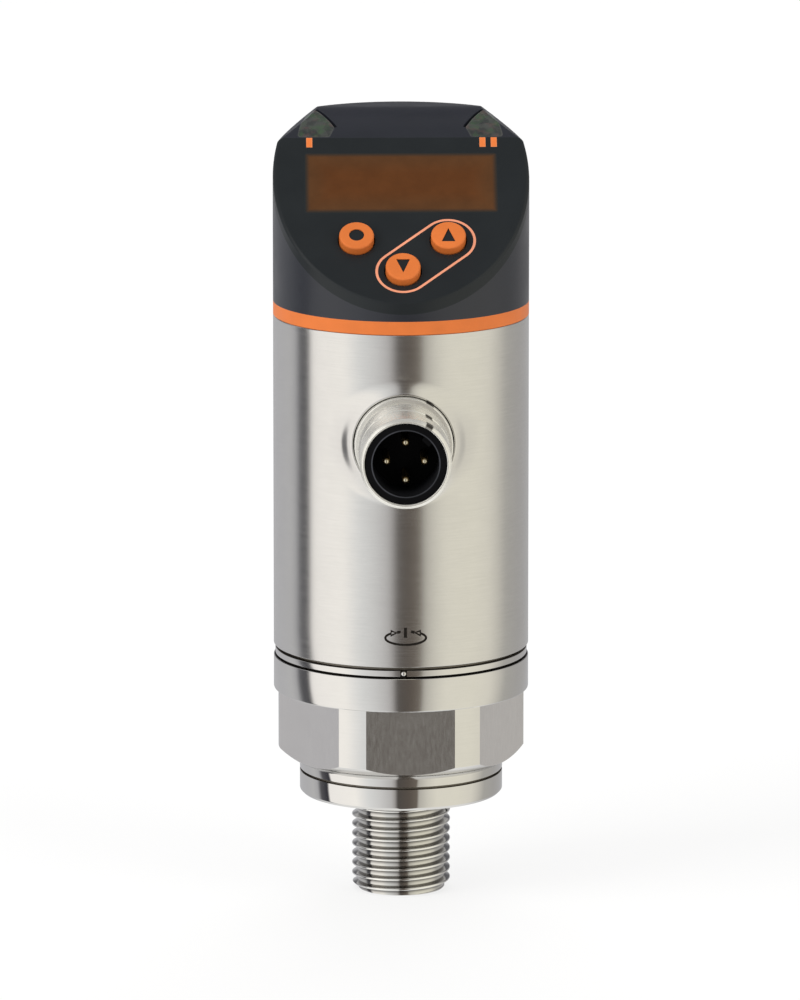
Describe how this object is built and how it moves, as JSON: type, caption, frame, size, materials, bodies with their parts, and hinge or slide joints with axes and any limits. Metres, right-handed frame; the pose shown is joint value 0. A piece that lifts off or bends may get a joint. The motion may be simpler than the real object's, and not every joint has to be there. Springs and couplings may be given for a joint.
{
  "type": "pressure sensor",
  "caption": "Compact industrial pressure sensor with a slanted display head, push buttons, a round plug connector and a male pipe thread.",
  "frame": {"origin": "on the turning axis, in the sealing face under the flange, at the root of the process thread", "axes": "+Z along the axis from the thread up through the housing; the display, the buttons and the plug connector face -Y; +X to the right seen from the front"},
  "size_m": [0.034, 0.0476, 0.104],
  "materials": {
    "turned_steel": "bright turned stainless steel",
    "brushed_sleeve": "fine brushed stainless steel",
    "spring_steel": "plain spring steel",
    "orange_plastic": "satin orange moulding",
    "outline_ink": "pale orange inlay",
    "head_plastic": "satin black moulding",
    "cover_plastic": "smooth black moulding",
    "tinted_window": "dark amber tinted window",
    "lens_plastic": "smoky translucent moulding",
    "led_resin": "clear resin over a small chip",
    "insert_plastic": "black contact carrier",
    "gold_contacts": "gold plated",
    "elastomer": "black elastomer",
    "cell_ceramic": "white alumina",
    "circuit_board": "green solder mask",
    "module_plastic": "black component body",
    "socket_plastic": "natural socket body",
    "carrier_plastic": "dark grey moulding",
    "ribbon_film": "amber flexible circuit",
    "lead_sheath": "grey sheath"
  },
  "bodies": {
    "process_connection": {"process_connection": "turned_steel", "port_seal": "elastomer", "cell_seal": "elastomer", "sensor_cell": "cell_ceramic", "cell_support_ring": "turned_steel", "cell_retaining_ring": "turned_steel", "cell_board": "circuit_board", "cell_lead": "lead_sheath", "housing_seal": "elastomer", "retaining_clip": "spring_steel", "stop_pin": "spring_steel"},
    "housing": {"base_ring": "turned_steel", "housing_sleeve": "brushed_sleeve", "accent_ring": "orange_plastic", "head_housing": "head_plastic", "front_cover": "cover_plastic", "display_window": "tinted_window", "button_outline": "outline_ink", "switch_marks": "orange_plastic", "display_module": "module_plastic", "display_board": "circuit_board", "display_ribbon": "ribbon_film", "tact_switches": "module_plastic", "status_leds": "led_resin", "connector_shell": "turned_steel", "connector_seal": "elastomer", "connector_insert": "insert_plastic", "contact_pins": "gold_contacts", "connector_board": "circuit_board", "connector_ribbon": "ribbon_film", "main_board": "circuit_board", "board_components": "module_plastic", "lead_socket": "socket_plastic", "board_carrier": "carrier_plastic", "left_status_lens": "lens_plastic", "right_status_lens": "lens_plastic"},
    "ring_button": {"ring_button": "orange_plastic", "ring_button_core": "cover_plastic"},
    "up_button": {"up_button": "orange_plastic", "up_button_core": "cover_plastic"},
    "down_button": {"down_button": "orange_plastic", "down_button_core": "cover_plastic"}
  },
  "joints": [
    {"name": "housing_turn", "type": "hinge", "parent": "process_connection", "child": "housing", "pos_m": [0, 0, 0.0189], "axis": [0, 0, 1], "range_deg": [-172.5, 172.5]},
    {"name": "ring_press", "type": "slide", "parent": "housing", "child": "ring_button", "axis": [0, 0.6499, -0.7601], "range_m": [0, 0.0005], "stiffness_N_per_m": 1500, "springref_m": -0.0004},
    {"name": "up_press", "type": "slide", "parent": "housing", "child": "up_button", "axis": [0, 0.6499, -0.7601], "range_m": [0, 0.0005], "stiffness_N_per_m": 1500, "springref_m": -0.0004},
    {"name": "down_press", "type": "slide", "parent": "housing", "child": "down_button", "axis": [0, 0.6499, -0.7601], "range_m": [0, 0.0005], "stiffness_N_per_m": 1500, "springref_m": -0.0004}
  ]
}
